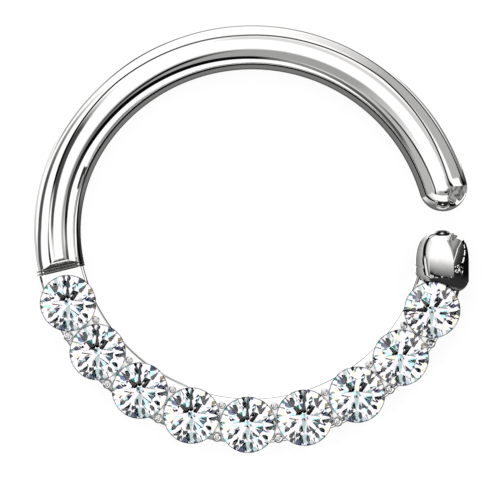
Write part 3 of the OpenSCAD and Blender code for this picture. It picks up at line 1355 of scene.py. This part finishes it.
class CardLight:
    """What the small cards beside the cap show, painted by the place on them.

    Places are millimetres from the top of the cap: x to the right, y up as worn and z over the floor.
    Greys are what the steel is to show, from 0 to 255.
    """

    SLIT_HALF = 0.045
    DASH_HALF = 0.05
    DASH_LENGTH = 0.11
    DASH_GAP = 0.03
    SPECKS_PER_MM = 13.5
    SPECK_LEVEL = 0.59
    GRAIN_PER_MM = 4.0
    DOT_PITCH = 0.26
    DOT_HALF = 0.03
    STRIPES_TOP = 1.5

    def __init__(self, shop: NodeShop, top: Vector) -> None:
        """Reads the place on the card.

        Args:
            shop: the card's nodes.
            top: the top of the cap, over the floor.
        """
        self.shop = shop
        self.here = shop.place()
        self.x, self.y, self.z = (shop.axis(self.here, name) - start for name, start in zip("XYZ", top))

    def outer(self) -> Reading:
        """The cap's outer side: dark below and grey above, with a slit, dashes and specks.

        Past the gap, where the free end mirrors it, it is mottled.

        Returns:
            The light there.
        """
        shop, y, z = self.shop, self.y, self.z
        edge = shop.most(0.57 - 0.72 * y, -1.74 - 3.5 * y)
        slope = shop.least(1.0 - 0.95 * y, 0.5 - 2.7 * y)
        over = shop.greys(z - slope, (0, 85), (0.5, 125), (1, 160))
        under = shop.greys(slope - z, (0, 100), (0.4, 50))
        low = shop.greys(y + 2, (0, 48), (0.7, 42), (0.85, 10))
        light = laid(laid(under, z > slope, over), z < edge, low)
        slit = (shop.size(z - slope) < self.SLIT_HALF) * (z > edge)
        gap = shop.math("PINGPONG", y, self.DASH_LENGTH) > self.DASH_GAP
        dash = (shop.size(z - edge + 0.13) < self.DASH_HALF) * gap * (y < -0.28) * (y > -0.95)
        spot = (shop.size(y + 1.06) < 0.1) * (shop.size(z - 1.35) < 0.32)
        speck = (shop.noise(self.here, self.SPECKS_PER_MM, 0.0) > self.SPECK_LEVEL) * spot
        beyond = (z < 0.7 + 0.8 * y) * (y > -0.1)
        light = laid(light, shop.most(shop.most(slit, dash), shop.most(speck, beyond)), BRIGHT)
        grain = shop.noise(self.here, self.GRAIN_PER_MM, 1.0)
        mottled = shop.greys(grain, (0.35, 80), (0.5, 125), (0.65, 165))
        return laid(light, shop.most((y > 0.3) * (z > 0.46), y > 0.8), mottled)

    def inner(self) -> Reading:
        """The cap's inner side: grey below, then a black and a dark stripe with white between them.

        Returns:
            The light there.
        """
        shop, y = self.shop, self.y
        low = ((0.0, 105), (0.46, 145), (0.69, 168), (0.8, 190), (0.83, 100), (0.85, 8), (0.96, 8),
               (0.99, 240), (1.1, 240), (1.13, 90), (1.21, 100), (1.26, 190), (1.4, 240))
        high = ((0.0, 125), (0.46, 150), (0.69, 175), (0.86, 200), (0.9, 60), (0.94, 10), (1.11, 20),
                (1.17, 200), (1.4, 240))
        top = self.STRIPES_TOP
        height = self.z + 0.27 * y
        below, above = (shop.greys(height / top, *((place / top, grey) for place, grey in stops))
                        for stops in (low, high))
        light = laid(below, shop.ramp(y + 1, (0.25, 0), (0.4, 1)), above)
        fade = shop.ramp(y + 0.5, (0.35, 0), (0.9, 1)) * (height < 0.86)
        return laid(light, fade, seen(225))

    def panel(self) -> Reading:
        """The soft light over the cap: white, dimmer towards the foot, with a wedge and a row of dots.

        Returns:
            The light there.
        """
        shop, x, y = self.shop, self.x, self.y
        grain = shop.noise(self.here, self.GRAIN_PER_MM, 2.0) - 0.5
        light = shop.greys(
            y + 0.09 * x + 0.1 * grain + 1.3, (0.0, 20), (0.04, 25), (0.06, 95), (0.13, 125), (0.22, 150),
            (0.34, 185), (0.46, 220), (0.56, 250), (0.7, 262))
        edge = shop.most(0.36 - 0.34 * y, 0.36 - 0.08 * y)
        wedge = shop.greys((x - edge) * 3, (0, 225), (0.12, 172), (0.6, 135), (1, 105)) * (1 + 0.6 * grain)
        light = laid(light, (x > edge) * (y > -0.78), wedge)
        dot = (shop.math("PINGPONG", x + 0.05, self.DOT_PITCH) < self.DOT_HALF) * (y < -1.27)
        return laid(light, dot, BRIGHT)

    def oval(self) -> Reading:
        """The dark disc in front of the tip, with a bright hole in its middle."""
        hole = (self.shop.size(self.x + 0.01) / 0.08 + self.shop.size(self.z - 1.02) / 0.06) < 1.0
        return laid(seen(30), hole, seen(225))

    def foot(self) -> Reading:
        """The dark card past the cap's foot, a little lighter upwards."""
        return self.shop.greys(self.z / 4, (0, 40), (1, 55))


class View(Enum):
    """Rays that a card hides from, all but the mirrored ones."""

    CAMERA = "visible_camera"
    DIFFUSE = "visible_diffuse"
    THROUGH = "visible_transmission"
    SHADOW = "visible_shadow"


@dataclass(frozen=True)
class Card:
    """A small card beside the cap that only mirrors see, in millimetres from the top of the cap."""

    name: str
    middle: Triple
    size: Triple
    light: Callable[[CardLight], Reading]
    round: bool = False
    round_sides: int = 48

    def hang(self, top: Vector) -> None:
        """Sets the card in its place.

        Args:
            top: the top of the cap, over the floor.
        """
        Bench.clear()
        place = Matrix.Translation(top + Vector(self.middle))
        if self.round:
            bpy.ops.mesh.primitive_circle_add(vertices=self.round_sides, radius=0.5, fill_type="NGON")
            place = place @ Matrix.Rotation(math.radians(90), 4, "X")
        else:
            bpy.ops.mesh.primitive_cube_add(size=1)
        card = bpy.context.object
        card.scale = self.size
        Bench.settle(card, place)
        with Bench.editing(card):
            bpy.ops.mesh.remove_doubles(threshold=WELD)
        Bench.settle(card, Matrix.Scale(MM, 4))
        card.name = self.name
        material, shop = new_material(self.name)
        colour = shop.grey(self.light(CardLight(shop, top)))
        shop.surface(shop.node("ShaderNodeEmission", inputs={"Color": colour, "Strength": 1.0}))
        card.data.materials.append(material)
        for hidden in View:
            setattr(card, hidden.value, False)


CARDS = (
    Card("outer_card", (0.865, -0.75, 1.15), (0, 3.7, 2.3), CardLight.outer),
    Card("inner_card", (-0.965, -0.65, 0.875), (0, 2.3, 1.75), CardLight.inner),
    Card("panel_card", (-0.335, -0.425, 1.62), (2.03, 1.75, 0), CardLight.panel),
    Card("oval_card", (0, 0.12, 1.02), (0.56, 0.31, 1), CardLight.oval, round=True),
    Card("foot_card", (0.1, -1.99, 2.6), (2.4, 0, 3.4), CardLight.foot),
)


@dataclass
class Studio:
    """A pale floor, a camera far above, and small cards round the cap."""

    plan: RingPlan
    view_width: float = 12.42
    view_middle: Triple = (-0.016, -0.326, 0.6)
    lean: tuple[float, float] = (-0.02, 0.02)
    lens: float = 1500.0
    sensor: float = 36.0
    farthest: float = 10.0
    floor_r: float = 400.0
    floor_sides: int = 96

    def camera(self) -> None:
        """Puts a long lens almost straight above the ring, as the photo was taken."""
        data = bpy.data.cameras.new("camera")
        data.type = "PERSP"
        data.lens = self.lens
        data.sensor_width = self.sensor
        data.clip_start = MM
        data.clip_end = self.farthest
        middle = Vector(self.view_middle)
        back = Vector((*self.lean, 1)).normalized()
        camera = bpy.data.objects.new("camera", data)
        camera.location = (middle + back * self.view_width * self.lens / self.sensor) * MM
        right = Vector((0, 1, 0)).cross(back).normalized()
        camera.rotation_euler = Matrix((right, back.cross(right), back)).transposed().to_euler()
        bpy.context.scene.collection.objects.link(camera)
        bpy.context.scene.camera = camera

    def floor(self) -> None:
        """Lays the pale floor that the ring rests on."""
        Bench.clear()
        bpy.ops.mesh.primitive_circle_add(
            vertices=self.floor_sides, radius=self.floor_r * MM, fill_type="NGON")
        floor = bpy.context.object
        floor.name = "floor"
        floor.data.materials.append(PaleFloor().material())
        floor.visible_glossy = False

    def cards(self) -> None:
        """Sets the small cards round the cap that give it its dark side, its stripes and its white panel."""
        top = self.plan.hub + Vector((self.plan.cap_x, self.plan.cap_top, 0))
        for card in CARDS:
            card.hang(top)


def main() -> None:
    """Loads the frame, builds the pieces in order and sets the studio."""
    logging.basicConfig(level=logging.INFO, format="%(name)s: %(message)s")
    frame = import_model()
    plan = RingPlan()
    Bench.clear()
    steel = PolishedSteel().material()
    shaded = PolishedSteel("shaded_steel", light=(0.2, 0.195, 0.19, 1), dark=(0.05, 0.05, 0.05, 1)).material()
    work = (
        (Piece("hoop_bar", steel), HoopBar(plan)),
        (Piece("seam_ribs", shaded), SeamRibs(plan)),
        (Piece("stone_rail", steel, crease=10.0), StoneRail(plan)),
        (Piece("outer_beads", steel), BeadProngs(plan, line_r=5.32, bead_d=0.24)),
        (Piece("inner_beads", steel), BeadProngs(plan, line_r=4.52, bead_d=0.18)),
        (Piece("end_cap", steel), EndCap(plan)),
    )
    for piece, part in work:
        piece.finish(part.worked())
    StoneRow(frame, CutZirconia(plan).material()).dress()

    studio = Studio(plan)
    studio.camera()
    studio.floor()
    studio.cards()
    Tent().hang()

    scene = bpy.context.scene
    scene.view_settings.view_transform = "Standard"
    scene.cycles.max_bounces = 24
    scene.cycles.glossy_bounces = 16
    scene.cycles.transmission_bounces = 24
    scene.cycles.blur_glossy = 0.0


if __name__ == "__main__":
    main()
